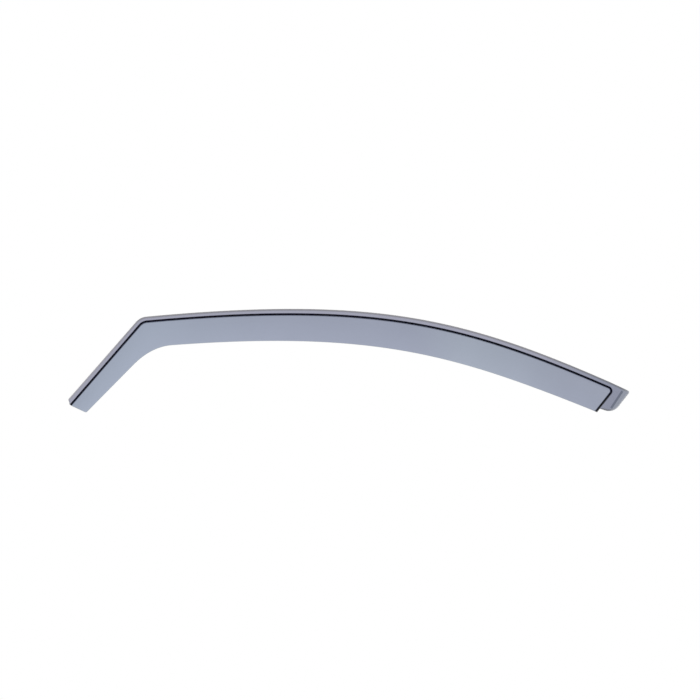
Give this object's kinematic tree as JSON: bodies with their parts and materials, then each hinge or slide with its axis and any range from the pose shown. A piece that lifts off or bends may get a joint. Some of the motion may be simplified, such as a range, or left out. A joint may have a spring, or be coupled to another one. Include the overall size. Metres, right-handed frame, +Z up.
{
  "type": "window rain deflector",
  "caption": "Smoked acrylic in-channel rain deflector for a front door window: a channel flange, a step and a visor that keeps rain off an open window.",
  "frame": {"origin": "the crown of the step line, on the flange's inner face", "axes": "+X along the car to its front, +Z up, outer face towards -Y"},
  "size_m": [0.9258, 0.0421, 0.1706],
  "materials": {
    "smoked_acrylic": "smoked see-through acrylic, polished faces, milled lead-in along the flange"
  },
  "bodies": {
    "root": {"deflector": "smoked_acrylic"}
  },
  "joints": []
}
